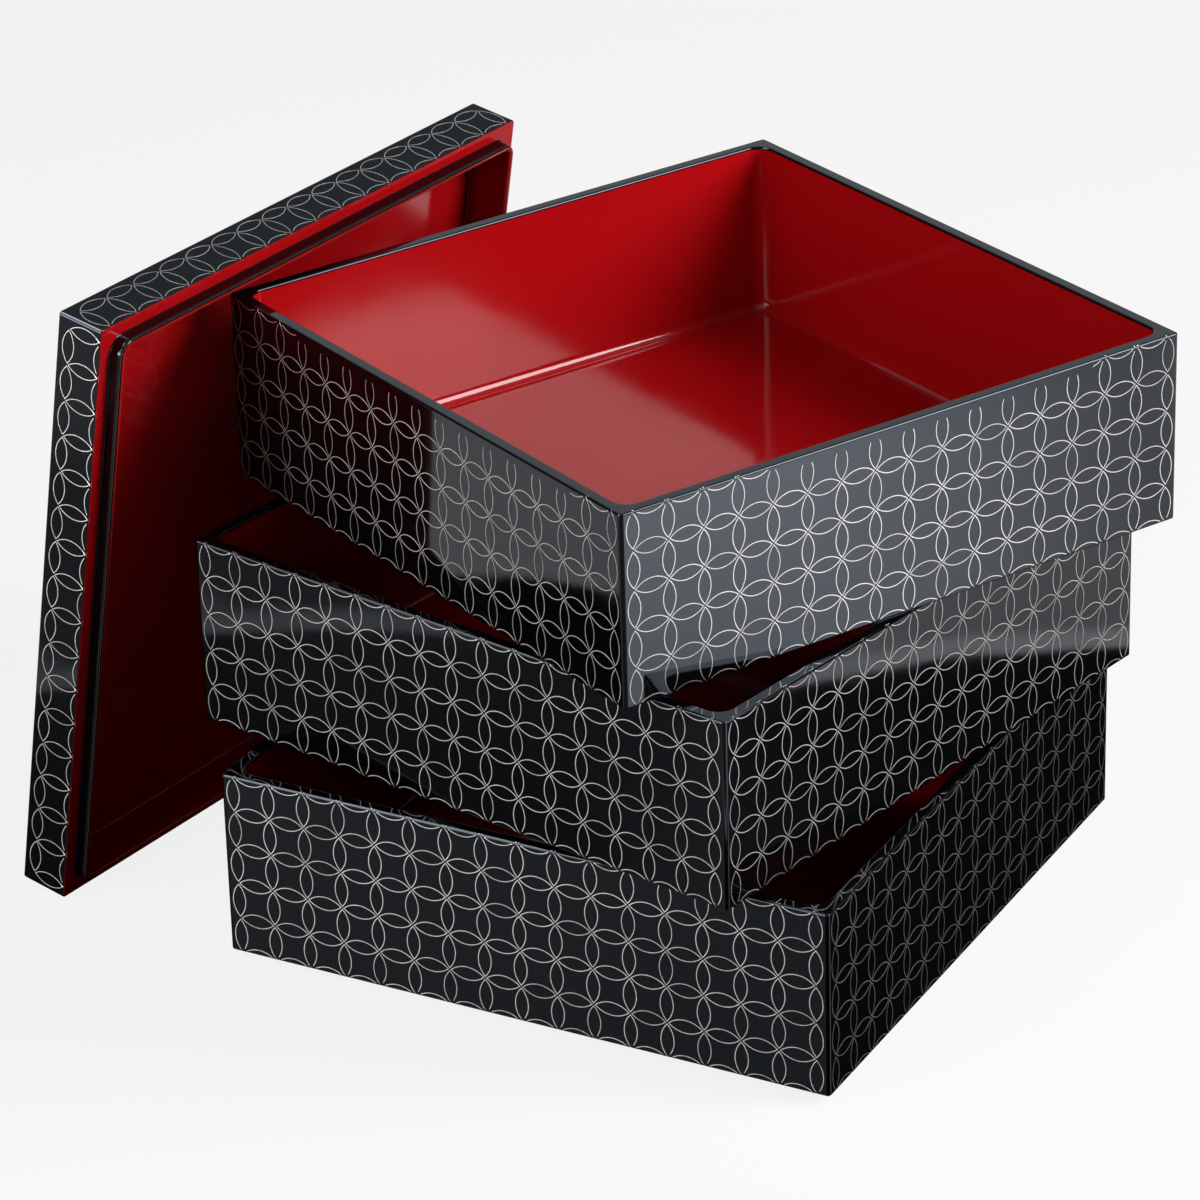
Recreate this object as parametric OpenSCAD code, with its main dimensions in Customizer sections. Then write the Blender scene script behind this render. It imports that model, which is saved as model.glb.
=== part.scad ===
// Stacking lacquer box of three square tiers and one lid, each a moulded core in two coats of lacquer:
// black outside and over the rim, vermilion inside. Past the lid's vermilion rim face, the outer side of
// its lip is black again. The tiers stand turned on one another and the lid leans on the left of the stack,
// on its lower edge, with its vermilion underside towards the tiers.
// The origin is on the table, under the middle of the bottom tier. The bottom tier's walls run along
// X and Y, and the lid stands on its -X side. Units are millimetres.

/* [Tiers] */
// Outer width and depth of a tier and of the lid
box_w = 195; // [150:1:240]
// Height of a tier's wall, from its lower edge to its rim
wall_h = 58; // [40:0.5:80]
// Thickness of a wall
wall_t = 3.9; // [3.5:0.1:6]
// Thickness of the floor
floor_t = 4; // [3:0.1:6]
// Radius of the upright edges outside
outer_r = 1.2; // [0.8:0.1:3]
// Radius of the upright corners inside
inner_r = 4.8; // [4.8:0.1:10]
// Radius of the cove between floor and walls
cove_r = 2.1; // [1:0.1:2.2]

/* [Foot ring] */
// Height of the foot ring under a tier, which drops into the tier below
foot_h = 2.5; // [1.5:0.1:5]
// Width of the foot ring's face
foot_w = 4; // [3:0.1:8]
// Room between the foot ring and the opening that it drops into
foot_gap = 0.5; // [0.3:0.05:1]

/* [Lid] */
// Height of the lid's skirt, from the top of the lid to the face that meets the rim
skirt_h = 15.9; // [12:0.1:25]
// Thickness of the lid's plate
plate_t = 5.5; // [3:0.1:7]
// Height of the lip that stands inside the top tier's opening
lip_h = 4.2; // [2:0.1:8]
// Thickness of the lip
lip_t = 2; // [1.5:0.1:4]
// Room between the lip and the opening
lip_gap = 0.6; // [0.3:0.05:1]
// Radius of the lip's corners outside
lip_r = 4.8; // [4.2:0.1:8]

/* [Lacquer] */
// Thickness of a coat, drawn thicker than the real 0.1 mm
coat_t = 0.25; // [0.1:0.05:0.4]
// How far the black lacquer turns down inside the rim
rim_turn = 0.8; // [0.5:0.1:2]

/* [Arrangement] */
// Middle of the middle tier, along X
middle_x = -2.8; // [-6:0.1:6]
// Middle of the middle tier, along Y
middle_y = 3.5; // [-6:0.1:6]
// Turn of the middle tier, in degrees, anticlockwise from above
middle_turn = -11.4; // [-20:0.1:-5]
// Middle of the top tier, along X
top_x = 4.6; // [4:0.1:10]
// Middle of the top tier, along Y
top_y = 10.6; // [5:0.1:15]
// Turn of the top tier
top_turn = -26.6; // [-32:0.1:-24]
// The corner on which the lid stands, nearest the front, along X
lid_x = -161.5; // [-170:0.1:-160]
// The same corner along Y
lid_y = -89.4; // [-95:0.1:-85]
// Direction of the lid's lower edge, in degrees from +X
lid_turn = 82; // [78:0.1:86]
// Lean of the lid towards the stack, in degrees from upright
lid_lean = 9.3; // [5:0.1:9.5]

/* [Hidden] */
$fn = 48;
cut = 1;                                // how far a cut runs past the face that it opens
rim_z = foot_h + wall_h;                // rim of a tier, above the face that it stands on
floor_z = foot_h + floor_t;             // upper face of the floor
foot_outer = box_w - 2 * (wall_t + foot_gap);
lip_outer = box_w - 2 * (wall_t + lip_gap);
recess_w = lip_outer - 2 * lip_t;       // opening of the lid's recess, between the lip's inner faces
recess_r = lip_r - lip_t;
black = "#0f1418";
vermilion = "#b00010";
bare = "#5a4636";

// Upright square post with rounded corners, w wide, from z0 to z1
module post(w, r, z0, z1) {
    translate([0, 0, z0]) linear_extrude(z1 - z0) {
        square([w, w - 2 * r], center = true);
        square([w - 2 * r, w], center = true);
        for (sx = [-1, 1], sy = [-1, 1]) translate([sx * (w / 2 - r), sy * (w / 2 - r)]) circle(r);
    }
}

// The room inside a tier: a post with rounded corners whose lower edge is rounded too, by the cove.
// grow moves its floor and walls outwards by the thickness of a coat
module room(z1, grow = 0) {
    w = box_w - 2 * wall_t + 2 * grow;
    r = inner_r + grow;
    c = cove_r + grow;
    z0 = floor_z - grow;
    side = w / 2 - r;
    post(w, r, z0 + c, z1);
    post(w - 2 * c, r - c, z0, z0 + c + cut);
    for (turn = [0, 90, 180, 270]) rotate(turn) {
        translate([-side, w / 2 - c, z0 + c]) rotate([0, 90, 0]) cylinder(r = c, h = 2 * side);
        translate([side, side, z0 + c]) rotate_extrude() {
            translate([r - c, 0]) intersection() {
                circle(c);
                translate([0, -c]) square([c, 2 * c]);
            }
            translate([0, -c]) square([r - c, 2 * c]);
        }
    }
}

// The ring on which a tier stands. shrink takes the thickness of a coat off its sides
module foot_ring(z1, shrink = 0) {
    foot_r = inner_r - foot_gap;
    difference() {
        post(foot_outer - 2 * shrink, foot_r - shrink, 0, z1);
        post(foot_outer - 2 * foot_w + 2 * shrink, 2 + shrink, -cut, z1 + cut);
    }
}

// Moulded core of a tier: four walls, floor and foot ring in one piece
module tier_core() {
    color(bare) {
        difference() {
            post(box_w - 2 * coat_t, outer_r - coat_t, foot_h + coat_t, rim_z - coat_t);
            room(rim_z + cut, coat_t);
        }
        foot_ring(foot_h + coat_t, coat_t);
    }
}

// Black lacquer of a tier: outside of the walls, rim, underside, and the sides of the foot ring,
// whose lower face is bare
module tier_black() {
    color(black) difference() {
        union() {
            post(box_w, outer_r, foot_h, rim_z);
            foot_ring(foot_h + coat_t / 2);
        }
        post(box_w - 2 * coat_t, outer_r - coat_t, foot_h + coat_t, rim_z - coat_t);
        foot_ring(foot_h + coat_t, coat_t);
        room(rim_z - rim_turn, coat_t);
        post(box_w - 2 * wall_t, inner_r, floor_z + cove_r, rim_z + cut);
    }
}

// Vermilion lacquer of a tier: the whole room inside, up to the turned-down black of the rim
module tier_red() {
    color(vermilion) difference() {
        room(rim_z - rim_turn, coat_t);
        room(rim_z + cut);
    }
}

// Moulded core of the lid: plate, skirt and lip in one piece, seen with the plate's top at z = 0
module core_of_lid() {
    color(bare) difference() {
        union() {
            post(box_w - 2 * coat_t, outer_r - coat_t, coat_t, skirt_h - coat_t);
            post(lip_outer - 2 * coat_t, lip_r - coat_t, skirt_h - cut, skirt_h + lip_h - coat_t);
        }
        post(recess_w + 2 * coat_t, recess_r + coat_t, plate_t - coat_t, skirt_h + lip_h + cut);
    }
}

// Black lacquer of the lid: the flat top and the outside of the skirt
module black_of_lid() {
    color(black) difference() {
        post(box_w, outer_r, 0, skirt_h);
        post(box_w - 2 * coat_t, outer_r - coat_t, coat_t, skirt_h + cut);
    }
}

// Black lacquer of the lip: its outer side, between the rim face and the top of the lip
module lip_black_of_lid() {
    color(black) difference() {
        post(lip_outer, lip_r, skirt_h, skirt_h + lip_h);
        post(lip_outer - 2 * coat_t, lip_r - coat_t, skirt_h - cut, skirt_h + lip_h + cut);
    }
}

// Vermilion lacquer of the lid: the face that meets the rim, the top of the lip and the recess
module red_of_lid() {
    color(vermilion) difference() {
        union() {
            post(box_w - 2 * coat_t, outer_r - coat_t, skirt_h - coat_t, skirt_h);
            post(lip_outer - 2 * coat_t, lip_r - coat_t, skirt_h - coat_t, skirt_h + lip_h);
            post(recess_w + 2 * coat_t, recess_r + coat_t, plate_t - coat_t, skirt_h);
        }
        difference() {
            post(lip_outer - 2 * coat_t, lip_r - coat_t, skirt_h - 2 * coat_t, skirt_h + lip_h - coat_t);
            post(recess_w + 2 * coat_t, recess_r + coat_t, skirt_h - cut, skirt_h + lip_h);
        }
        post(recess_w, recess_r, plate_t, skirt_h + lip_h + cut);
    }
}

// Places in the photographed arrangement. A turned tier stands with its foot ring on the rim below
module at_middle() { translate([middle_x, middle_y, rim_z]) rotate(middle_turn) children(); }
module at_top() { translate([top_x, top_y, 2 * rim_z]) rotate(top_turn) children(); }
module at_lid() {
    translate([lid_x, lid_y, 0]) rotate([90 + lid_lean, 0, lid_turn])
        translate([box_w / 2, box_w / 2, -skirt_h]) children();
}

module bottom_tier_core() { tier_core(); }
module bottom_tier_black_lacquer() { tier_black(); }
module bottom_tier_red_lacquer() { tier_red(); }
module middle_tier_core() { at_middle() tier_core(); }
module middle_tier_black_lacquer() { at_middle() tier_black(); }
module middle_tier_red_lacquer() { at_middle() tier_red(); }
module top_tier_core() { at_top() tier_core(); }
module top_tier_black_lacquer() { at_top() tier_black(); }
module top_tier_red_lacquer() { at_top() tier_red(); }
module lid_core() { at_lid() core_of_lid(); }
module lid_black_lacquer() { at_lid() black_of_lid(); }
module lid_lip_black_lacquer() { at_lid() lip_black_of_lid(); }
module lid_red_lacquer() { at_lid() red_of_lid(); }

bottom_tier_core();
bottom_tier_black_lacquer();
bottom_tier_red_lacquer();
middle_tier_core();
middle_tier_black_lacquer();
middle_tier_red_lacquer();
top_tier_core();
top_tier_black_lacquer();
top_tier_red_lacquer();
lid_core();
lid_black_lacquer();
lid_lip_black_lacquer();
lid_red_lacquer();
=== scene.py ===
# %% [markdown]
# # A stacking lacquer box, dressed for the camera
# Three square tiers are stacked with their corners fanned out, and the lid stands on its edge on the left,
# leaning towards them. The solids come from the CAD model, which also says which body carries each piece.
# This script gives them their lacquer, the printed circles, a camera and a small studio.

import math

import bmesh
import bpy
import numpy as np
from mathutils import Matrix, Vector


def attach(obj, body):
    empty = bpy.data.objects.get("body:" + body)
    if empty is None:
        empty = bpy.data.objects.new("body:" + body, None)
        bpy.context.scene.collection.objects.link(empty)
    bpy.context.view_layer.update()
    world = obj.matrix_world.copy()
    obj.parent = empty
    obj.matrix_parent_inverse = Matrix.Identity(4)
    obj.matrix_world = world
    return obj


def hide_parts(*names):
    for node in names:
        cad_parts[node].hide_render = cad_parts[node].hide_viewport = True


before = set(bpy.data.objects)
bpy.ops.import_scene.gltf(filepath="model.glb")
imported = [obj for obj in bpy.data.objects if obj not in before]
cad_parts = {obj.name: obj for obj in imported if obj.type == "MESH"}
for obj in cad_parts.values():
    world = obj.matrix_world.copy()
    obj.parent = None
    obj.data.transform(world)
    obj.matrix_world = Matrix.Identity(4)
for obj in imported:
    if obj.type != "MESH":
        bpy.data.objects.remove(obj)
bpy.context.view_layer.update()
MM = 0.001

# %% [markdown]
# The sizes below repeat the ones in the CAD source, in millimetres, so that each coat of lacquer lies
# where its solid lies. The cove is the exception: the highlight in it is so wide that it needs 3.1 mm, and
# the solid keeps 2.1 mm. Names that end in _HALF are half a width, and those in _R are a corner's radius or
# a hollow's. Each body has a frame of its own: a tier's starts at the middle of the face that it stands on,
# and the lid's at the middle of its flat top, with the skirt pointing along +Z.

# %% Sizes and the place of each body
BOX_W, WALL_T, RIM_Z, FOOT_H = 195.0, 3.9, 60.5, 2.5
FLOOR_Z, COVE_R, INNER_R, OUTER_R = 6.5, 3.1, 4.8, 1.2
FOOT_HALF, FOOT_W, FOOT_R, FOOT_IN_R = 93.1, 4.0, 4.3, 2.0
SKIRT_H, PLATE_T, LIP_H, LIP_T, LIP_HALF, LIP_R = 15.9, 5.5, 4.2, 2.0, 93.0, 4.8
RIM_TURN = 0.8        # how far the black turns down inside the rim
COAT = 0.23           # thickness of a coat, a little less than the CAD's, so that it lies on the core
SKIN = 0.06           # the walls' faces lie this much inside the CAD's, which leaves room for the print
EDGE_R = 0.6          # rounding of the lacquered edges
LID_LEAN = 9.3        # degrees from upright, towards the stack


def place(x, y, z, turn):
    """Where a body's frame stands, in millimetres, and its turn about Z, in degrees."""
    return Matrix.Translation((x, y, z)) @ Matrix.Rotation(math.radians(turn), 4, "Z")


PLACES = {
    "bottom_tier": place(0, 0, 0, 0),
    "middle_tier": place(-2.8, 3.5, RIM_Z, -11.4),
    "top_tier": place(4.6, 10.6, 2 * RIM_Z, -26.6),
    "lid": place(-161.5, -89.4, 0, 82)
    @ Matrix.Rotation(math.radians(90 + LID_LEAN), 4, "X")
    @ Matrix.Translation((BOX_W / 2, BOX_W / 2, -SKIRT_H)),
}
TIERS = ["bottom_tier", "middle_tier", "top_tier"]
print("bodies placed:", len(PLACES))

# %% [markdown]
# The camera repeats the photograph's: the print's regular grid on six faces gave its place, its long lens
# and a small roll. It looks down by 26 degrees from the front right.

# %% Camera
AZIMUTH, ELEVATION, ROLL = 28.567, 26.025, 1.600      # degrees
FOCAL_PX, FRAME_PX, SENSOR = 5480.9, 1200, 36.0       # pixels of the photo, and millimetres
# millimetres. AIM is what the camera looks at, counted from the walls' lower edge, before the turn to AZIMUTH
DISTANCE, AIM = 1603.9, Vector((-21.107, 0, 91.553))

el, roll = math.radians(ELEVATION), math.radians(ROLL)
forward = Vector((0, math.cos(el), -math.sin(el)))
right, down = Vector((1, 0, 0)), Vector((0, -math.sin(el), -math.cos(el)))
right_r = math.cos(roll) * right + math.sin(roll) * down
down_r = -math.sin(roll) * right + math.cos(roll) * down
turn = Matrix.Rotation(math.radians(AZIMUTH), 3, "Z")
spot = turn @ (AIM - forward * DISTANCE) + Vector((0, 0, FOOT_H))
axes = Matrix((turn @ right_r, turn @ -down_r, turn @ -forward)).transposed().to_4x4()

cam_data = bpy.data.cameras.new("camera")
cam_data.sensor_width = SENSOR
cam_data.lens = FOCAL_PX / FRAME_PX * SENSOR
cam = bpy.data.objects.new("camera", cam_data)
cam.matrix_world = Matrix.Translation(spot * MM) @ axes
bpy.context.scene.collection.objects.link(cam)
bpy.context.scene.camera = cam
bpy.context.scene.view_settings.view_transform = "Standard"
print("lens", round(cam_data.lens, 1), "mm, camera at", [round(v) for v in spot])

# %% [markdown]
# Small helpers for nodes and materials. Colours are written as the eye sees them, in sRGB hex, and Blender
# computes in linear light, so one function turns them. Another adds a node with its settings and links, and
# a third gives a material the place on the object in millimetres, so that every pattern has a real size.

# %% Helpers for nodes and materials
def linear(hex_colour):
    parts = [int(hex_colour[i:i + 2], 16) / 255 for i in (1, 3, 5)]
    return tuple(c / 12.92 if c <= 0.04045 else ((c + 0.055) / 1.055) ** 2.4 for c in parts) + (1.0,)


def add(tree, kind, inputs=None, **settings):
    """Adds a node. inputs gives each socket its value, or the output that is linked to it. A whole node given
    there stands for its first output."""
    made = tree.nodes.new(kind)
    for name, value in settings.items():
        setattr(made, name, value)
    for name, value in (inputs or {}).items():
        if isinstance(value, bpy.types.Node):
            value = value.outputs[0]
        if isinstance(value, bpy.types.NodeSocket):
            tree.links.new(value, made.inputs[name])
        else:
            made.inputs[name].default_value = value
    return made


def new_material(name):
    mat = bpy.data.materials.new(name)
    mat.use_nodes = True
    mat.node_tree.nodes.clear()
    return mat, mat.node_tree


def millimetres(tree):
    """The place on the object in millimetres, so that a noise whose scale is 1 / 38 has blots 38 mm apart."""
    coords = add(tree, "ShaderNodeTexCoord").outputs["Object"]
    return add(tree, "ShaderNodeVectorMath", {0: coords, "Scale": 1 / MM}, operation="SCALE")


print("helpers ready; vermilion in linear light:", [round(v, 3) for v in linear("#bc1117")])

# %% [markdown]
# Urushi is a hard, deep gloss coat, sprayed or brushed over a moulded core. What tells it from plain
# plastic is that its reflections are sharp but not perfectly flat: they swim over waves some centimetres
# long and a faint orange peel about 2 mm across. Both are bump from noise in real millimetres, and a third
# noise makes the gloss a little uneven, as wiping leaves it.

# %% Lacquer materials
TONE_MM, WIPE_MM, WAVE_MM, PEEL_MM = 38, 17, 55, 2.2     # how large each kind of unevenness is


def lacquer(name, base, deep, roughness, wave, peel, tint):
    """base and deep are tones that drift into each other, wave and peel are heights in millimetres, and tint
    is the colour of what it mirrors."""
    mat, tree = new_material(name)
    mm = millimetres(tree)
    tone = add(tree, "ShaderNodeTexNoise", {"Vector": mm, "Scale": 1 / TONE_MM, "Detail": 3.0})
    # a Mix node has one set of sockets for each kind of data, so its colour sockets are named by place
    colour = add(tree, "ShaderNodeMix", {0: tone, 6: linear(base), 7: linear(deep)}, data_type="RGBA")
    wiped = add(tree, "ShaderNodeTexNoise", {"Vector": mm, "Scale": 1 / WIPE_MM, "Detail": 4.0})
    gloss = add(tree, "ShaderNodeMapRange", {"Value": wiped, "From Min": 0.35, "From Max": 0.7,
                                             "To Min": roughness * 0.8, "To Max": roughness * 1.35})
    waves = add(tree, "ShaderNodeTexNoise", {"Vector": mm, "Scale": 1 / WAVE_MM, "Detail": 0.0})
    low = add(tree, "ShaderNodeBump", {"Height": waves, "Strength": 1.0, "Distance": wave * MM})
    peels = add(tree, "ShaderNodeTexNoise", {"Vector": mm, "Scale": 1 / PEEL_MM, "Detail": 1.0})
    fine = add(tree, "ShaderNodeBump", {"Height": peels, "Strength": 1.0, "Distance": peel * MM,
                                        "Normal": low})
    shader = add(tree, "ShaderNodeBsdfPrincipled", {
        "Base Color": colour.outputs[2], "Roughness": gloss, "Normal": fine, "IOR": 1.5,
        "Specular Tint": linear(tint)})
    add(tree, "ShaderNodeOutputMaterial", {"Surface": shader})
    return mat


# The black's bluish tint #dcebff is a painted cast on its reflections: the colour of what it mirrors, laid on
# the gloss itself.
black_lacquer = lacquer("black urushi lacquer, polished", base="#050607", deep="#07080a",
                        roughness=0.05, wave=0.25, peel=0.002, tint="#dcebff")
red_lacquer = lacquer("vermilion urushi lacquer, polished", base="#bc1117", deep="#b20c12",
                      roughness=0.09, wave=0.30, peel=0.004, tint="#ffffff")
print("lacquers:", black_lacquer.name, "/", red_lacquer.name)

# %% [markdown]
# The core is a moulded mix of wood flour and resin. It shows only on the lower face of the foot rings, where
# the tiers were held while they were sprayed: matte brown, with the flour's fine speckle.

# %% Core material
SPECKS_PER_MM = 1.6   # real specks are about 0.2 mm across, too fine to show, so these are coarser


def moulded_core():
    mat, tree = new_material("moulded wood flour and resin, bare")
    mm = millimetres(tree)
    flour = add(tree, "ShaderNodeTexNoise", {"Vector": mm, "Scale": SPECKS_PER_MM, "Detail": 3.0})
    colour = add(tree, "ShaderNodeValToRGB", {"Fac": flour})
    for stop, where, tone in zip(colour.color_ramp.elements, (0.35, 0.7), ("#4a382b", "#6b5542")):
        stop.position, stop.color = where, linear(tone)
    bump = add(tree, "ShaderNodeBump", {"Height": flour, "Strength": 0.6, "Distance": 0.03 * MM})
    shader = add(tree, "ShaderNodeBsdfPrincipled", {
        "Base Color": colour, "Normal": bump, "Roughness": 0.72, "IOR": 1.5})
    add(tree, "ShaderNodeOutputMaterial", {"Surface": shader})
    return mat


core_material = moulded_core()
print("core:", core_material.name)

# %% [markdown]
# The circles are screen-printed with a paint of fine metal flake. Towards the light it is nearly white, and
# on a face that mirrors something dark it goes dim and takes that colour, so it is metal with a rough
# surface. Each closed line also differs a little in tone, by a random number that comes with the print.

# %% Print material
FLAKES_PER_MM = 2.4   # real flake is about 0.05 mm across, too fine to show, so this is coarser


def flake_print():
    mat, tree = new_material("silver flake print on lacquer")
    mm = millimetres(tree)
    tone = add(tree, "ShaderNodeAttribute", attribute_name="petal_tone")
    flake = add(tree, "ShaderNodeTexNoise", {"Vector": mm, "Scale": FLAKES_PER_MM, "Detail": 2.0})
    mixed = add(tree, "ShaderNodeMath", {0: tone.outputs["Fac"], 1: flake}, operation="ADD")
    colour = add(tree, "ShaderNodeValToRGB", {"Fac": mixed})
    for stop, where, silver in zip(colour.color_ramp.elements, (0.35, 1.0), ("#c7c0bc", "#eae4df")):
        stop.position, stop.color = where, linear(silver)
    rough = add(tree, "ShaderNodeMapRange", {"Value": flake, "To Min": 0.32, "To Max": 0.50})
    shader = add(tree, "ShaderNodeBsdfPrincipled", {
        "Base Color": colour, "Roughness": rough, "Metallic": 1.0})
    add(tree, "ShaderNodeOutputMaterial", {"Surface": shader})
    return mat


print_material = flake_print()
print("print:", print_material.name)

# %% [markdown]
# A coat of lacquer is a thin closed shell. All four bodies are square with rounded corners, so one idea
# makes them all: a row of rounded-square rings, each with its own half width, corner radius and height,
# skinned one to the next. The edges are rounded by a few close rings, which is what catches the light.

# %% Rings and skins
SHARPEST = 0.05       # no corner is sharper than this, so that no two points of a ring coincide
CREASE = 50           # degrees past which an edge stays sharp


def ring(half, radius, z, steps=8):
    """Points round a rounded square, anticlockwise from above, each corner in the same number of steps."""
    radius = max(radius, SHARPEST)
    points = []
    for corner in range(4):
        for k in range(steps + 1):
            a = math.radians(90 * corner + 90 * k / steps)
            cx = (half - radius) * (1 if corner in (0, 3) else -1)
            cy = (half - radius) * (1 if corner in (0, 1) else -1)
            points.append((cx + radius * math.cos(a), cy + radius * math.sin(a), z))
    return points


def turn_edge(half, radius, z, edge, start, end, steps=5):
    """Rings round an edge. half and z are the middle of its rounding, and the angles are 0 outwards, 90 up
    and 180 inwards. The corner radius follows, so that the rounding keeps its size round the corners."""
    rings = []
    for k in range(steps + 1):
        a = math.radians(start + (end - start) * k / steps)
        rings.append((half + edge * math.cos(a), radius + edge * math.cos(a), z + edge * math.sin(a)))
    return rings


def join(bm, a, b):
    """Faces between two rings of vertices."""
    for i in range(len(a)):
        j = (i + 1) % len(a)
        bm.faces.new((a[i], a[j], b[j], b[i]))


def skin(bm, section, loop=True):
    """Skins the rings of a section, which gives (half, radius, z) for each. Returns the rings of vertices."""
    rows = [[bm.verts.new(p) for p in ring(*r)] for r in section]
    for a, b in zip(rows, rows[1:]):
        join(bm, a, b)
    if loop:
        join(bm, rows[-1], rows[0])
    return rows


def put(name, mesh, body):
    """Moves a mesh, drawn in millimetres in its body's own frame, to its place. The body then carries it."""
    mesh.transform(Matrix.Scale(MM, 4) @ PLACES[body])
    mesh.name = name
    obj = bpy.data.objects.new(name, mesh)
    bpy.context.scene.collection.objects.link(obj)
    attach(obj, body)
    return obj


def make_piece(name, build, body, material):
    """Builds a closed mesh, turns its faces outwards, smooths it between its creases and puts it in place."""
    bm = bmesh.new()
    build(bm)
    bmesh.ops.recalc_face_normals(bm, faces=bm.faces)
    mesh = bpy.data.meshes.new(name)
    bm.to_mesh(mesh)
    bm.free()
    mesh.polygons.foreach_set("use_smooth", [True] * len(mesh.polygons))
    mesh.set_sharp_from_angle(angle=math.radians(CREASE))
    mesh.materials.append(material)
    obj = put(name, mesh, body)
    even = obj.modifiers.new("weighted normals", "WEIGHTED_NORMAL")
    even.keep_sharp = True
    even.weight = 80          # large faces lead, so that the walls stay flat up to their edges
    return obj


print("a ring has", len(ring(10, 2, 0)), "points")

# %% [markdown]
# A tier's black coat starts 0.8 mm down inside the rim, turns over it, runs down the wall, turns under its
# lower edge and ends on the foot ring. A second skin covers the underside inside the ring. The vermilion
# coat is the room: walls, a small cove and the floor.

# %% Coats of a tier
HALF = BOX_W / 2 - SKIN
ROOM = BOX_W / 2 - WALL_T
BACK, BACK_R = BOX_W / 2 - COAT, OUTER_R - COAT     # the coats' inner side on the walls
END_GAP = 0.02        # a coat ends this short of the face beside it
FOOT_EDGE, FOOT_EDGE_Z = 0.1, 0.15    # broken edge of the foot ring, and where it starts over the table


def tier_black(bm):
    e, c = EDGE_R, COAT
    section = [(ROOM, INNER_R, RIM_Z - RIM_TURN)]
    section += turn_edge(ROOM + e, INNER_R + e, RIM_Z - e, e, 180, 90)
    section += turn_edge(HALF - e, OUTER_R - e, RIM_Z - e, e, 90, 0)
    section += turn_edge(HALF - e, OUTER_R - e, FOOT_H + e, e, 0, -90)
    section += [(FOOT_HALF, FOOT_R, FOOT_H), (FOOT_HALF, FOOT_R, FOOT_EDGE_Z),
                (FOOT_HALF - FOOT_EDGE, FOOT_R - FOOT_EDGE, END_GAP)]
    section += [(FOOT_HALF - c, FOOT_R - c, END_GAP), (FOOT_HALF - c, FOOT_R - c, FOOT_H + c),
                (BACK, BACK_R, FOOT_H + c), (BACK, BACK_R, RIM_Z - c),
                (ROOM + c, INNER_R + c, RIM_Z - c), (ROOM + c, INNER_R + c, RIM_Z - RIM_TURN)]
    skin(bm, section)
    inner, r = FOOT_HALF - FOOT_W, FOOT_IN_R
    underside = [(inner, r, FOOT_H), (inner, r, FOOT_EDGE_Z), (inner + FOOT_EDGE, r + FOOT_EDGE, END_GAP),
                 (inner + c, r + c, END_GAP), (inner + c, r + c, FOOT_H + c)]
    rows = skin(bm, underside, loop=False)
    bm.faces.new(rows[0])
    bm.faces.new(rows[-1])


def tier_red(bm):
    top = RIM_Z - RIM_TURN
    cove_middle = (ROOM - COVE_R, INNER_R - COVE_R, FLOOR_Z + COVE_R)
    front = [(ROOM, INNER_R, top), (ROOM, INNER_R, FLOOR_Z + COVE_R)]
    front += turn_edge(*cove_middle, COVE_R, 0, -90, steps=8)[1:]
    back = turn_edge(*cove_middle, COVE_R + COAT, -90, 0, steps=8)
    back.append((ROOM + COAT, INNER_R + COAT, top))
    front, back = skin(bm, front, loop=False), skin(bm, back, loop=False)
    bm.faces.new(front[-1])
    bm.faces.new(back[0])
    join(bm, back[-1], front[0])


for body in TIERS:
    black = make_piece(f"{body}_black_coat", tier_black, body, black_lacquer)
    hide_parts(f"{body}_black_lacquer")
    red = make_piece(f"{body}_red_coat", tier_red, body, red_lacquer)
    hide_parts(f"{body}_red_lacquer")
    print(body, len(black.data.polygons), "+", len(red.data.polygons), "faces")

# %% [markdown]
# The lid's black coat covers its flat top and its skirt. The red starts on the rounding of the rim and
# crosses the rim face. Then the photo shows black again on the lip's outer side, up to the middle of its
# rounded top, and red from there down into the recess. So the lid takes four skins: two black, two red.

# %% Coats of the lid
LID_EDGE, EDGE_SPLIT = 0.5, 45        # rounding of the rim, and the angle on it where black meets red
LIP_CROWN, CROWN_SPLIT = 1.0, 75      # rounding of the lip's top outside, and the same for it
LIP_FOOT, RECESS_COVE = 0.35, 0.8     # hollows at the lip's foot and round the recess's floor
LIP_TOP, LIP_IN, LIP_IN_R = SKIRT_H + LIP_H, LIP_HALF - LIP_T, LIP_R - LIP_T
RIM_MIDDLE = (HALF - LID_EDGE, OUTER_R - LID_EDGE, SKIRT_H - LID_EDGE)
CROWN_MIDDLE = (LIP_HALF - LIP_CROWN, LIP_R - LIP_CROWN, LIP_TOP - LIP_CROWN)


def lid_black(bm):
    e, c, foot = EDGE_R, COAT, LIP_FOOT
    top = turn_edge(HALF - e, OUTER_R - e, SKIN + e, e, -90, 0)
    top += turn_edge(*RIM_MIDDLE, LID_EDGE, 0, EDGE_SPLIT, steps=3)
    top += [(BACK, BACK_R, SKIRT_H - c), (BACK, BACK_R, SKIN + c)]
    rows = skin(bm, top, loop=False)
    bm.faces.new(rows[0])
    bm.faces.new(rows[-1])
    lip = turn_edge(LIP_HALF + foot, LIP_R + foot, SKIRT_H + foot, foot, 270, 180, steps=3)
    lip += turn_edge(*CROWN_MIDDLE, LIP_CROWN, 0, CROWN_SPLIT, steps=6)
    lip += [(lip[-1][0], lip[-1][1], LIP_TOP - c), (LIP_HALF - c, LIP_R - c, LIP_TOP - 2.5 * c),
            (LIP_HALF - c, LIP_R - c, SKIRT_H + END_GAP)]
    skin(bm, lip)


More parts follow.
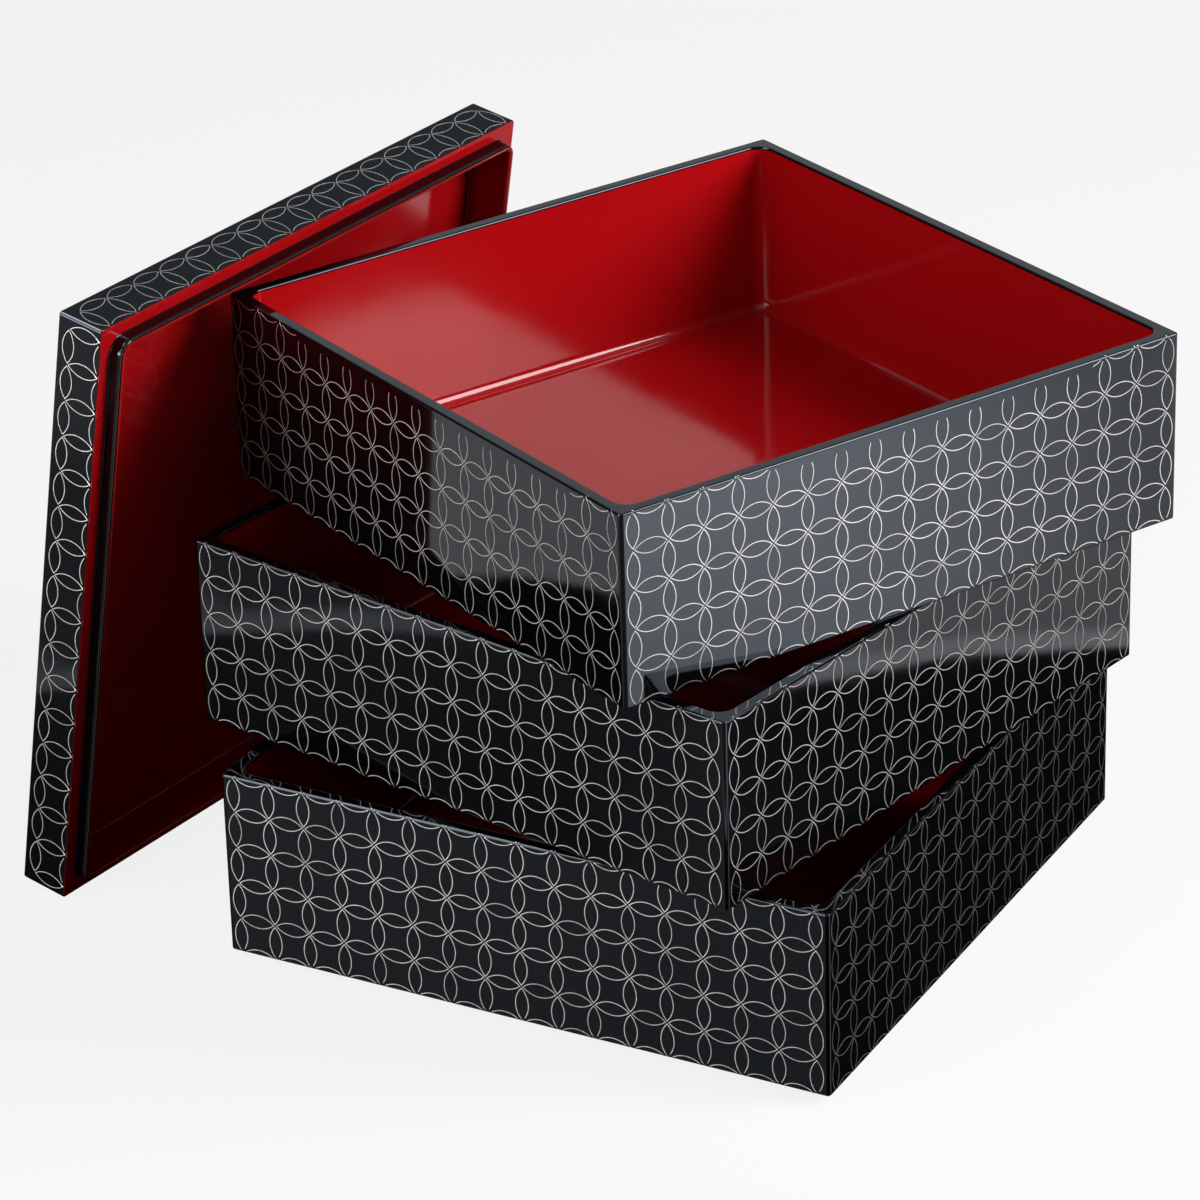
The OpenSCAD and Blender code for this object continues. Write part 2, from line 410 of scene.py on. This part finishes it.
def lid_red(bm):
    c, cove = COAT, RECESS_COVE
    face = turn_edge(*RIM_MIDDLE, LID_EDGE, EDGE_SPLIT, 90, steps=3)
    face += [(LIP_HALF - c, LIP_R - c, SKIRT_H), (LIP_HALF - c, LIP_R - c, SKIRT_H - c),
             (BOX_W / 2 - 2 * c, OUTER_R - c, SKIRT_H - c)]
    skin(bm, face)
    edge = LIP_T - LIP_CROWN
    room = turn_edge(*CROWN_MIDDLE, LIP_CROWN, CROWN_SPLIT, 90, steps=2)
    room += turn_edge(LIP_IN + edge, LIP_IN_R + edge, LIP_TOP - edge, edge, 90, 180)[1:]
    room += turn_edge(LIP_IN - cove, LIP_IN_R - cove, PLATE_T + cove, cove, 0, -90)
    under = [(room[0][0], room[0][1], LIP_TOP - c), (LIP_IN + c, LIP_IN_R + c, LIP_TOP - 2 * c),
             (LIP_IN + c, LIP_IN_R + c, PLATE_T - c)]
    room, under = skin(bm, room, loop=False), skin(bm, under, loop=False)
    bm.faces.new(room[-1])
    bm.faces.new(under[-1])
    join(bm, under[0], room[0])


black = make_piece("lid_black_coat", lid_black, "lid", black_lacquer)
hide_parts("lid_black_lacquer", "lid_lip_black_lacquer")
red = make_piece("lid_red_coat", lid_red, "lid", red_lacquer)
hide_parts("lid_red_lacquer")
print("lid", len(black.data.polygons), "+", len(red.data.polygons), "faces")

# %% [markdown]
# The cores stay as the CAD made them. They only get their material.

# %% Cores
for node_name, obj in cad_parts.items():
    if node_name.endswith("_core"):
        obj.data.materials.clear()
        obj.data.materials.append(core_material)
print("cores dressed:", sum(n.endswith("_core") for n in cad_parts))

# %% [markdown]
# The pattern is the shippo, circles that overlap by a quarter so that four pointed petals make each one. In
# the photo each petal is its own closed line, with a thin dark cross left between the tips of four. So the
# thing to repeat is one petal line, a flat ribbon a quarter of a millimetre wide, and a half one for the
# rows that the rim and the lower edge cut.

# %% One petal line
PITCH = 11.685        # from circle to circle
LINE_W, TIP_GAP = 0.25, 0.19
PROUD, SUNK = 0.04, 0.01      # how far a line stands out of the lacquer, and reaches into it


def petal_line(name, sides):
    """A ribbon round a petal that lies along X. sides is (1, -1) for a whole petal, (-1,) for its lower half.
    Each arc is part of a circle that is centred half a pitch away, on the other side."""
    bm = bmesh.new()
    radius, off, steps = PITCH / math.sqrt(2), PITCH / 2, 8
    outer, inner = radius - TIP_GAP, radius - TIP_GAP - LINE_W
    for side in sides:
        rows = []
        for r, height in ((outer, -SUNK), (outer, PROUD), (inner, PROUD), (inner, -SUNK)):
            reach = math.asin(math.sqrt(r * r - off * off) / r)
            row = []
            for k in range(steps + 1):
                a = reach * (2 * k / steps - 1)
                row.append(bm.verts.new((r * math.sin(a), side * (r * math.cos(a) - off), height)))
            rows.append(row)
        for a, b in zip(rows, rows[1:]):
            for k in range(steps):
                quad = (a[k], a[k + 1], b[k + 1], b[k])
                bm.faces.new(quad if side < 0 else quad[::-1])
    bmesh.ops.remove_doubles(bm, verts=bm.verts, dist=1e-5)     # two arcs share their tips
    mesh = bpy.data.meshes.new(name)
    bm.to_mesh(mesh)
    bm.free()
    return bpy.data.objects.new(name, mesh)


whole_petal = petal_line("whole_petal", (1, -1))
half_petal = petal_line("half_petal", (-1,))
print("a petal has", len(whole_petal.data.polygons), "faces, a half one", len(half_petal.data.polygons))

# %% [markdown]
# Geometry Nodes repeats the petal over a panel: rows of petals along X, columns of petals along Y between
# them, and half petals where a row lies on an edge. The panel is then turned and moved on to its face, and
# copied round the box. Every size is a named input, so one tree serves the tiers, the skirt and the lid's
# top. A random number for each petal, from a fixed seed, is stored for the material.

# %% Geometry Nodes tree of the print
def print_tree():
    tree = bpy.data.node_groups.new("circles on a panel", "GeometryNodeTree")
    face = tree.interface
    face.new_socket("Geometry", in_out="INPUT", socket_type="NodeSocketGeometry")
    for name, kind in (("Petal", "Object"), ("Half Petal", "Object"), ("Pitch", "Float"), ("Columns", "Int"),
                       ("Whole Rows", "Int"), ("First Whole Row", "Int"), ("Rows", "Int"),
                       ("Half Row At Start", "Bool"), ("Half Row At End", "Bool"),
                       ("Panel Turn", "Rotation"), ("Panel Move", "Vector"), ("Copies Round", "Int"),
                       ("Seed", "Int"), ("Material", "Material")):
        face.new_socket(name, in_out="INPUT", socket_type=f"NodeSocket{kind}")
    face.new_socket("Geometry", in_out="OUTPUT", socket_type="NodeSocketGeometry")
    inp = add(tree, "NodeGroupInput").outputs

    def copies(shape, turn_z, columns, rows, middle_row):
        """A grid of copies of a shape, centred along X. Its middle row lies that many pitches along Y."""
        size = {"Vertices X": columns, "Vertices Y": rows}
        for side, count in (("Size X", columns), ("Size Y", rows)):
            spaces = add(tree, "ShaderNodeMath", {0: count, 1: 1.0}, operation="SUBTRACT")
            size[side] = add(tree, "ShaderNodeMath", {0: spaces, 1: inp["Pitch"]}, operation="MULTIPLY")
        grid = add(tree, "GeometryNodeMeshGrid", size)
        up = add(tree, "ShaderNodeMath", {0: middle_row, 1: inp["Pitch"]}, operation="MULTIPLY")
        move = add(tree, "ShaderNodeCombineXYZ", {"Y": up})
        points = add(tree, "GeometryNodeSetPosition", {"Geometry": grid, "Offset": move})
        return add(tree, "GeometryNodeInstanceOnPoints", {
            "Points": points, "Instance": shape, "Rotation": (0.0, 0.0, turn_z)})

    petal = add(tree, "GeometryNodeObjectInfo", {"Object": inp["Petal"]}).outputs["Geometry"]
    half = add(tree, "GeometryNodeObjectInfo", {"Object": inp["Half Petal"]}).outputs["Geometry"]
    gaps = add(tree, "ShaderNodeMath", {0: inp["Columns"], 1: 1.0}, operation="SUBTRACT")
    last_row = add(tree, "ShaderNodeMath", {0: inp["Rows"], 1: 1.0}, operation="SUBTRACT")
    middle = add(tree, "ShaderNodeMath", {0: last_row, 1: 0.5}, operation="MULTIPLY")
    whole_gaps = add(tree, "ShaderNodeMath", {0: inp["Whole Rows"], 1: 1.0}, operation="SUBTRACT")
    whole_middle = add(tree, "ShaderNodeMath", {0: whole_gaps, 1: 0.5, 2: inp["First Whole Row"]},
                       operation="MULTIPLY_ADD")
    along = copies(petal, 0.0, gaps, inp["Whole Rows"], whole_middle)
    upright = copies(petal, math.pi / 2, inp["Columns"], last_row, middle)
    start = add(tree, "GeometryNodeSwitch", {
        "Switch": inp["Half Row At Start"], "True": copies(half, math.pi, gaps, 1, 0.0)},
        input_type="GEOMETRY")
    end = add(tree, "GeometryNodeSwitch", {
        "Switch": inp["Half Row At End"], "True": copies(half, 0.0, gaps, 1, last_row)},
        input_type="GEOMETRY")
    panel = add(tree, "GeometryNodeJoinGeometry")
    for part in (along, upright, start, end):
        tree.links.new(part.outputs[0], panel.inputs[0])
    tone = add(tree, "FunctionNodeRandomValue", {"Seed": inp["Seed"]}, data_type="FLOAT")
    toned = add(tree, "GeometryNodeStoreNamedAttribute", {
        "Geometry": panel, "Name": "petal_tone", "Value": tone.outputs[1]},
        data_type="FLOAT", domain="INSTANCE")
    placed = add(tree, "GeometryNodeTransform", {
        "Geometry": toned, "Rotation": inp["Panel Turn"], "Translation": inp["Panel Move"]})
    spots = add(tree, "GeometryNodeMeshLine", {"Count": inp["Copies Round"], "Offset": (0.0, 0.0, 0.0)})
    side = add(tree, "GeometryNodeInputIndex")
    angle = add(tree, "ShaderNodeMath", {0: side, 1: math.pi / 2}, operation="MULTIPLY")
    quarter = add(tree, "ShaderNodeCombineXYZ", {"Z": angle})
    panels = add(tree, "GeometryNodeInstanceOnPoints", {
        "Points": spots, "Instance": placed, "Rotation": quarter})
    real = add(tree, "GeometryNodeRealizeInstances", {"Geometry": panels})
    dressed = add(tree, "GeometryNodeSetMaterial", {"Geometry": real, "Material": inp["Material"]})
    add(tree, "NodeGroupOutput", {"Geometry": dressed})
    return tree


circles = print_tree()
print("the tree has", len(circles.nodes), "nodes")

# %% [markdown]
# The print is made flat and baked to a plain mesh. On the walls it is a little taller than the flat part of
# the face, and like the real one it runs on to the rounded edges, so its points are bent over them there.
# A wall of the top tier bows in a little, and there the screen left no paint near the rim: in the middle of
# the wall the last row of petals ends open. Two of its walls show this; the other two are given the same.

# %% Bake the print on each body
def bake(**inputs):
    """Runs the tree with these inputs, whose names have _ for a space. Its result is a plain mesh."""
    holder = bpy.data.objects.new("print", bpy.data.meshes.new("print"))
    bpy.context.scene.collection.objects.link(holder)
    mod = holder.modifiers.new("print", "NODES")
    mod.node_group = circles
    values = {"Petal": whole_petal, "Half Petal": half_petal, "Pitch": PITCH, "Material": print_material}
    values.update({k.replace("_", " "): v for k, v in inputs.items()})
    for item in circles.interface.items_tree:
        if item.item_type == "SOCKET" and item.in_out == "INPUT" and item.name in values:
            mod[item.identifier] = values[item.name]
    dg = bpy.context.evaluated_depsgraph_get()
    mesh = bpy.data.meshes.new_from_object(holder.evaluated_get(dg))
    holder.modifiers.clear()
    bpy.data.objects.remove(holder)
    mesh.materials.clear()      # with it goes the empty slot that the petals' own mesh brings
    mesh.materials.append(print_material)
    return mesh


def bend_over_edges(mesh, low, high, half, edge):
    """Points of an upright panel above high or below low follow the rounding of the edge there."""
    co = np.empty(len(mesh.vertices) * 3)
    mesh.vertices.foreach_get("co", co)
    co = co.reshape(-1, 3)
    axis = np.argmax(np.abs(co[:, :2]), axis=1)
    rows = np.arange(len(co))
    sign, out = np.sign(co[rows, axis]), np.abs(co[rows, axis]) - half
    for limit, way in ((high - edge, 1), (low + edge, -1)):
        past = way * (co[:, 2] - limit)
        take = past > 0
        a = np.clip(past[take] / edge, 0, math.pi / 2)
        reach = edge + out[take]
        co[rows[take], axis[take]] = sign[take] * (half - edge + reach * np.cos(a))
        co[take, 2] = limit + way * reach * np.sin(a)
    mesh.vertices.foreach_set("co", co.ravel())


def fade_near_rim(mesh, zones):
    """Takes away the line faces near the rim in the middle of each wall. zones gives, for the walls at -Y,
    +X, +Y and -X, from where to where along the wall the print falls short, and by how much."""
    bm = bmesh.new()
    bm.from_mesh(mesh)
    lost = []
    for f in bm.faces:
        x, y, z = f.calc_center_median()
        wall = (0 if y < 0 else 2) if abs(y) > abs(x) else (1 if x > 0 else 3)
        along = (x, y, -x, -y)[wall]
        start, end, short = zones[wall]
        ramp = min(along - start, end - along) / FADE_RAMP
        if z > RIM_Z - short * min(max(ramp, 0.0), 1.0):
            lost.append(f)
    bmesh.ops.delete(bm, geom=lost, context="FACES")
    bm.to_mesh(mesh)
    bm.free()
    print("the fade takes", len(lost), "faces")


UPRIGHT = Matrix.Rotation(math.pi / 2, 3, "X").to_euler()
COLUMNS, ROWS = 17, 6
FADE = [(-66, 80, 3.4), (-50, 70, 3.4), (-70, 62, 3.0), (-58, 74, 3.2)]
FADE_RAMP = 9.0       # the fade grows to its full height over this length
first_row = FOOT_H + (RIM_Z - FOOT_H - (ROWS - 1) * PITCH) / 2
for k, body in enumerate(TIERS):
    mesh = bake(Columns=COLUMNS, Whole_Rows=ROWS - 2, First_Whole_Row=1, Rows=ROWS,
                Half_Row_At_Start=True, Half_Row_At_End=True, Panel_Turn=UPRIGHT,
                Panel_Move=(0.0, -HALF, first_row), Copies_Round=4, Seed=k)
    if body == "top_tier":
        fade_near_rim(mesh, FADE)
    bend_over_edges(mesh, FOOT_H, RIM_Z, HALF, EDGE_R)
    put(f"{body}_print", mesh, body)
    print(mesh.name, len(mesh.polygons), "faces,", [m.name for m in mesh.materials])

# %% [markdown]
# On the lid the print runs round the skirt, from half petals on the rim to one full row, and leaves a plain
# band towards the top. Its flat top isn't seen in the photo; boxes of this kind carry the pattern there too.

# %% Print of the lid
UPSIDE_DOWN = Matrix.Rotation(math.pi, 3, "X").to_euler()
skirt = bake(Columns=COLUMNS, Whole_Rows=1, First_Whole_Row=0, Rows=2, Half_Row_At_Start=False,
             Half_Row_At_End=True, Panel_Turn=UPRIGHT, Panel_Move=(0.0, -HALF, SKIRT_H - PITCH),
             Copies_Round=4, Seed=11)
bend_over_edges(skirt, 0.0, SKIRT_H, HALF, LID_EDGE)
plate = bake(Columns=COLUMNS, Whole_Rows=COLUMNS, First_Whole_Row=0, Rows=COLUMNS, Half_Row_At_Start=False,
             Half_Row_At_End=False, Panel_Turn=UPSIDE_DOWN,
             Panel_Move=(0.0, (COLUMNS - 1) / 2 * PITCH, SKIN), Copies_Round=1, Seed=12)
both = bmesh.new()
both.from_mesh(skirt)
both.from_mesh(plate)
both.to_mesh(skirt)
both.free()
put("lid_print", skirt, "lid")
print(skirt.name, len(skirt.polygons), "faces,", [m.name for m in skirt.materials])

# %% [markdown]
# Gloss is mostly a picture of its surroundings, so the studio is built from what the lacquer shows. Traced
# back through the camera, the curved edges mirrored in three walls all lie on one circle on the table,
# 295 mm round a point near the middle of the group: the set stood on a round black turntable, which was cut
# out of the photo. So the floor is pale where the camera sees it, with the box's shadow, and to every
# other ray it has that dark round patch. Past it the walls mirror a table whose light is painted into the
# floor's glow: a painted pool of light on the right, darker in front, and a painted bright strip along the
# turntable's edge. Only reflections see those.

# %% Floor material
WHITE = linear("#ffffff")
TABLE_MIDDLE, TABLE_R = (-26.0, -10.0), 295.0      # of the turntable, in millimetres
GLOW_SHARE = 0.85     # how much of the pale floor glows by itself; the rest takes light and shadow


def ray_sockets(tree):
    """Two sockets: one is 1 for what the camera sees itself, the other also for what gloss and glass show."""
    path = add(tree, "ShaderNodeLightPath").outputs
    shown = path["Is Camera Ray"]
    for kind in ("Is Glossy Ray", "Is Transmission Ray"):
        shown = add(tree, "ShaderNodeMath", {0: shown, 1: path[kind]}, operation="MAXIMUM").outputs[0]
    return path["Is Camera Ray"], shown


def floor_material():
    mat, tree = new_material("pale studio floor with a black turntable")
    seen, shown = ray_sockets(tree)
    share = add(tree, "ShaderNodeMath", {0: shown, 1: GLOW_SHARE}, operation="MULTIPLY")
    coords = add(tree, "ShaderNodeTexCoord").outputs["Object"]
    x, y, _ = add(tree, "ShaderNodeSeparateXYZ", {0: coords}).outputs
    middle = (TABLE_MIDDLE[0] * MM, TABLE_MIDDLE[1] * MM, 0.0)
    reach = add(tree, "ShaderNodeVectorMath", {0: coords, 1: middle}, operation="DISTANCE").outputs["Value"]

    def brightness(*factors):
        """The product of factors, each of which is the largest of its ramps. A ramp is a value, the two
        places in metres between which it runs, and the brightness at each."""
        product = 1.0
        for ramps in factors:
            largest = 0.0
            for value, low, high, at_low, at_high in ramps:
                ramp = add(tree, "ShaderNodeMapRange", {"Value": value, "From Min": low, "From Max": high,
                                                        "To Min": at_low, "To Max": at_high})
                largest = add(tree, "ShaderNodeMath", {0: largest, 1: ramp}, operation="MAXIMUM")
            product = add(tree, "ShaderNodeMath", {0: product, 1: largest}, operation="MULTIPLY")
        return product

    # Painted light: the table's brightness for reflections is painted into the floor's glow, as a painted
    # pool of light on the right that is darker in front, and a painted bright strip round the turntable.
    table = brightness(
        [(x, 0.10, 0.46, 0.75, 3.4)],                                     # a pool of light on the right
        [(y, 0.0, 0.13, 1.0, 0.37)],                                      # that is weaker at the back
        [(x, 0.52, 0.64, 1.0, 0.22)],                                     # and ends at the far right
        [(y, -0.20, -0.18, 0.22, 1.0), (y, -0.33, -0.26, 0.6, 0.0)],      # dark in front
        [(y, -0.115, -0.095, 0.12, 1.0), (x, -0.10, 0.0, 1.0, 0.0)])      # and at the front right
    strip = brightness([(reach, (TABLE_R + 10) * MM, (TABLE_R + 22) * MM, 1.0, 0.0)],
                       [(x, -0.20, 0.25, 0.83, 1.45)])
    mirrored = add(tree, "ShaderNodeMath", {0: table, 1: strip}, operation="MAXIMUM")
    strength = add(tree, "ShaderNodeMix", {0: seen, 2: mirrored, 3: 1.0})
    matte = add(tree, "ShaderNodeBsdfDiffuse", {"Color": linear("#f0f0f0")})
    glow = add(tree, "ShaderNodeEmission", {"Color": WHITE, "Strength": strength})
    pale = add(tree, "ShaderNodeMixShader", {0: share, 1: matte, 2: glow})
    black = add(tree, "ShaderNodeBsdfPrincipled", {
        "Base Color": linear("#08090b"), "Roughness": 0.20, "IOR": 1.5})
    inside = add(tree, "ShaderNodeMapRange", {"Value": reach, "From Min": (TABLE_R - 2) * MM,
                                              "From Max": (TABLE_R + 2) * MM, "To Min": 1.0, "To Max": 0.0})
    unseen = add(tree, "ShaderNodeMath", {0: 1.0, 1: seen}, operation="SUBTRACT")
    turntable = add(tree, "ShaderNodeMath", {0: inside, 1: unseen}, operation="MULTIPLY")
    surface = add(tree, "ShaderNodeMixShader", {0: turntable, 1: pale, 2: black})
    add(tree, "ShaderNodeOutputMaterial", {"Surface": surface})
    return mat


pale_floor = floor_material()
print("floor material:", pale_floor.name, "with", len(pale_floor.node_tree.nodes), "nodes")

# %% [markdown]
# The floor is one large sheet, so that its edge is never seen. The world is as pale as the floor where the
# camera or a reflection sees it, and nearly dark for all other rays, so that it adds only a little light.

# %% Floor and world
FLOOR = 6.0           # half width of the floor, in metres
SURROUND = 0.035      # brightness of the world for all that isn't seen or mirrored
SQUARE = ((-1, -1), (1, -1), (1, 1), (-1, 1))


def stage_piece(name, points, faces, material):
    """A piece of the stage, in metres, which isn't part of the object."""
    mesh = bpy.data.meshes.new(name)
    mesh.from_pydata(points, [], faces)
    mesh.materials.append(material)
    obj = bpy.data.objects.new(name, mesh)
    bpy.context.scene.collection.objects.link(obj)
    return obj


stage_piece("floor", [(FLOOR * a, FLOOR * b, 0) for a, b in SQUARE], [(0, 1, 2, 3)], pale_floor)

world = bpy.data.worlds.new("surround")
bpy.context.scene.world = world
world.use_nodes = True
surround = world.node_tree
surround.nodes.clear()
level = add(surround, "ShaderNodeMapRange", {
    "Value": ray_sockets(surround)[1], "To Min": SURROUND, "To Max": 1.0})
glow = add(surround, "ShaderNodeBackground", {"Color": WHITE, "Strength": level})
add(surround, "ShaderNodeOutputWorld", {"Surface": glow})
print("floor", FLOOR * 2, "m wide, turntable", 2 * TABLE_R, "mm across")

# %% [markdown]
# The red inside tells where the lamps stood. Its left wall is the brightest and goes dark towards the back
# corner, so the main softbox is on the right, about 30 degrees up. A weaker one at the front left lights
# the right wall. Everything else is a card that only reflections see. The room above and all round is dark,
# which keeps the black walls black. A pale backdrop behind gives the rims their slate and lies as a haze on
# the front of the red floor. Two white cards glow though they light nothing: a small one high on the left
# draws a painted highlight line along the tiers' left edges, and a low one in front puts a painted
# highlight on the print of the left walls.

# %% Lights
AIM_AT = Vector((0, 0, 0.13))         # what the lamps and cards face, in metres
CEILING_Z, CEILING = 1.25, 1.8        # height and half width of the ceiling
WALL_R = 1.5                          # distance of the flags and the backdrop
BACKDROP_TOP = 0.99                   # height at which the pale backdrop ends and a darker wall begins


def soft_light(name, direction, distance, width, height, watts):
    data = bpy.data.lights.new(name, "AREA")
    data.shape, data.size, data.size_y, data.energy = "RECTANGLE", width, height, watts
    obj = bpy.data.objects.new(name, data)
    away = Vector(direction).normalized()
    obj.location = AIM_AT + away * distance
    obj.rotation_euler = away.to_track_quat("Z", "Y").to_euler()
    bpy.context.scene.collection.objects.link(obj)


def card(name, points, faces, colour, strength):
    """A glowing piece of the stage that only reflections see."""
    mat, tree = new_material(name)
    glow = add(tree, "ShaderNodeEmission", {"Color": linear(colour), "Strength": strength})
    add(tree, "ShaderNodeOutputMaterial", {"Surface": glow})
    obj = stage_piece(name, points, faces, mat)
    obj.visible_camera = obj.visible_diffuse = obj.visible_shadow = obj.visible_transmission = False


def facing_card(name, direction, distance, half, colour, strength):
    """A square card that faces the object."""
    away = Vector(direction).normalized()
    across = away.cross(Vector((0, 0, 1))).normalized()
    up = across.cross(away)
    middle = AIM_AT + away * distance
    card(name, [middle + half * (a * across + b * up) for a, b in SQUARE], [(0, 1, 2, 3)], colour, strength)


def curved_card(name, start, end, radius, low, high, colour, strength=1.0, steps=24):
    """An upright card round the object, from one direction to another, in degrees from +X."""
    points = []
    for a in np.radians(np.linspace(start, end, steps + 1)):
        points += [(radius * math.cos(a), radius * math.sin(a), z) for z in (low, high)]
    faces = [(2 * k, 2 * k + 2, 2 * k + 3, 2 * k + 1) for k in range(steps)]
    card(name, points, faces, colour, strength)


soft_light("softbox_right", (0.833, 0.239, 0.50), distance=1.10, width=0.50, height=0.77, watts=14.5)
soft_light("softbox_front_left", (-0.40, -0.86, 0.33), distance=1.20, width=0.8, height=0.8, watts=6.2)
ceiling = [(CEILING * a, CEILING * b, CEILING_Z) for a, b in SQUARE[::-1]]
card("dark_ceiling", ceiling, [(0, 1, 2, 3)], "#93999e", 1.0)
# Painted highlight: a glowing card that lights nothing and is seen only in reflections draws the line along
# the tiers' left edges.
facing_card("edge_card", (-0.50, -0.36, 0.76), distance=1.05, half=0.22, colour="#ffffff", strength=12.0)
curved_card("dark_flags", 145, 450, WALL_R, 0.0, CEILING_Z, "#1c1e20")
curved_card("pale_backdrop", 90, 145, WALL_R, 0.0, BACKDROP_TOP, "#bcc3c6")
curved_card("backdrop_top", 90, 145, WALL_R, BACKDROP_TOP, CEILING_Z, "#767b80")
# Painted highlight: a glowing card seen only in reflections brightens the print on the left walls.
curved_card("low_front_card", 214, 264, radius=1.3, low=0.05, high=0.38, colour="#ffffff", strength=9.0)
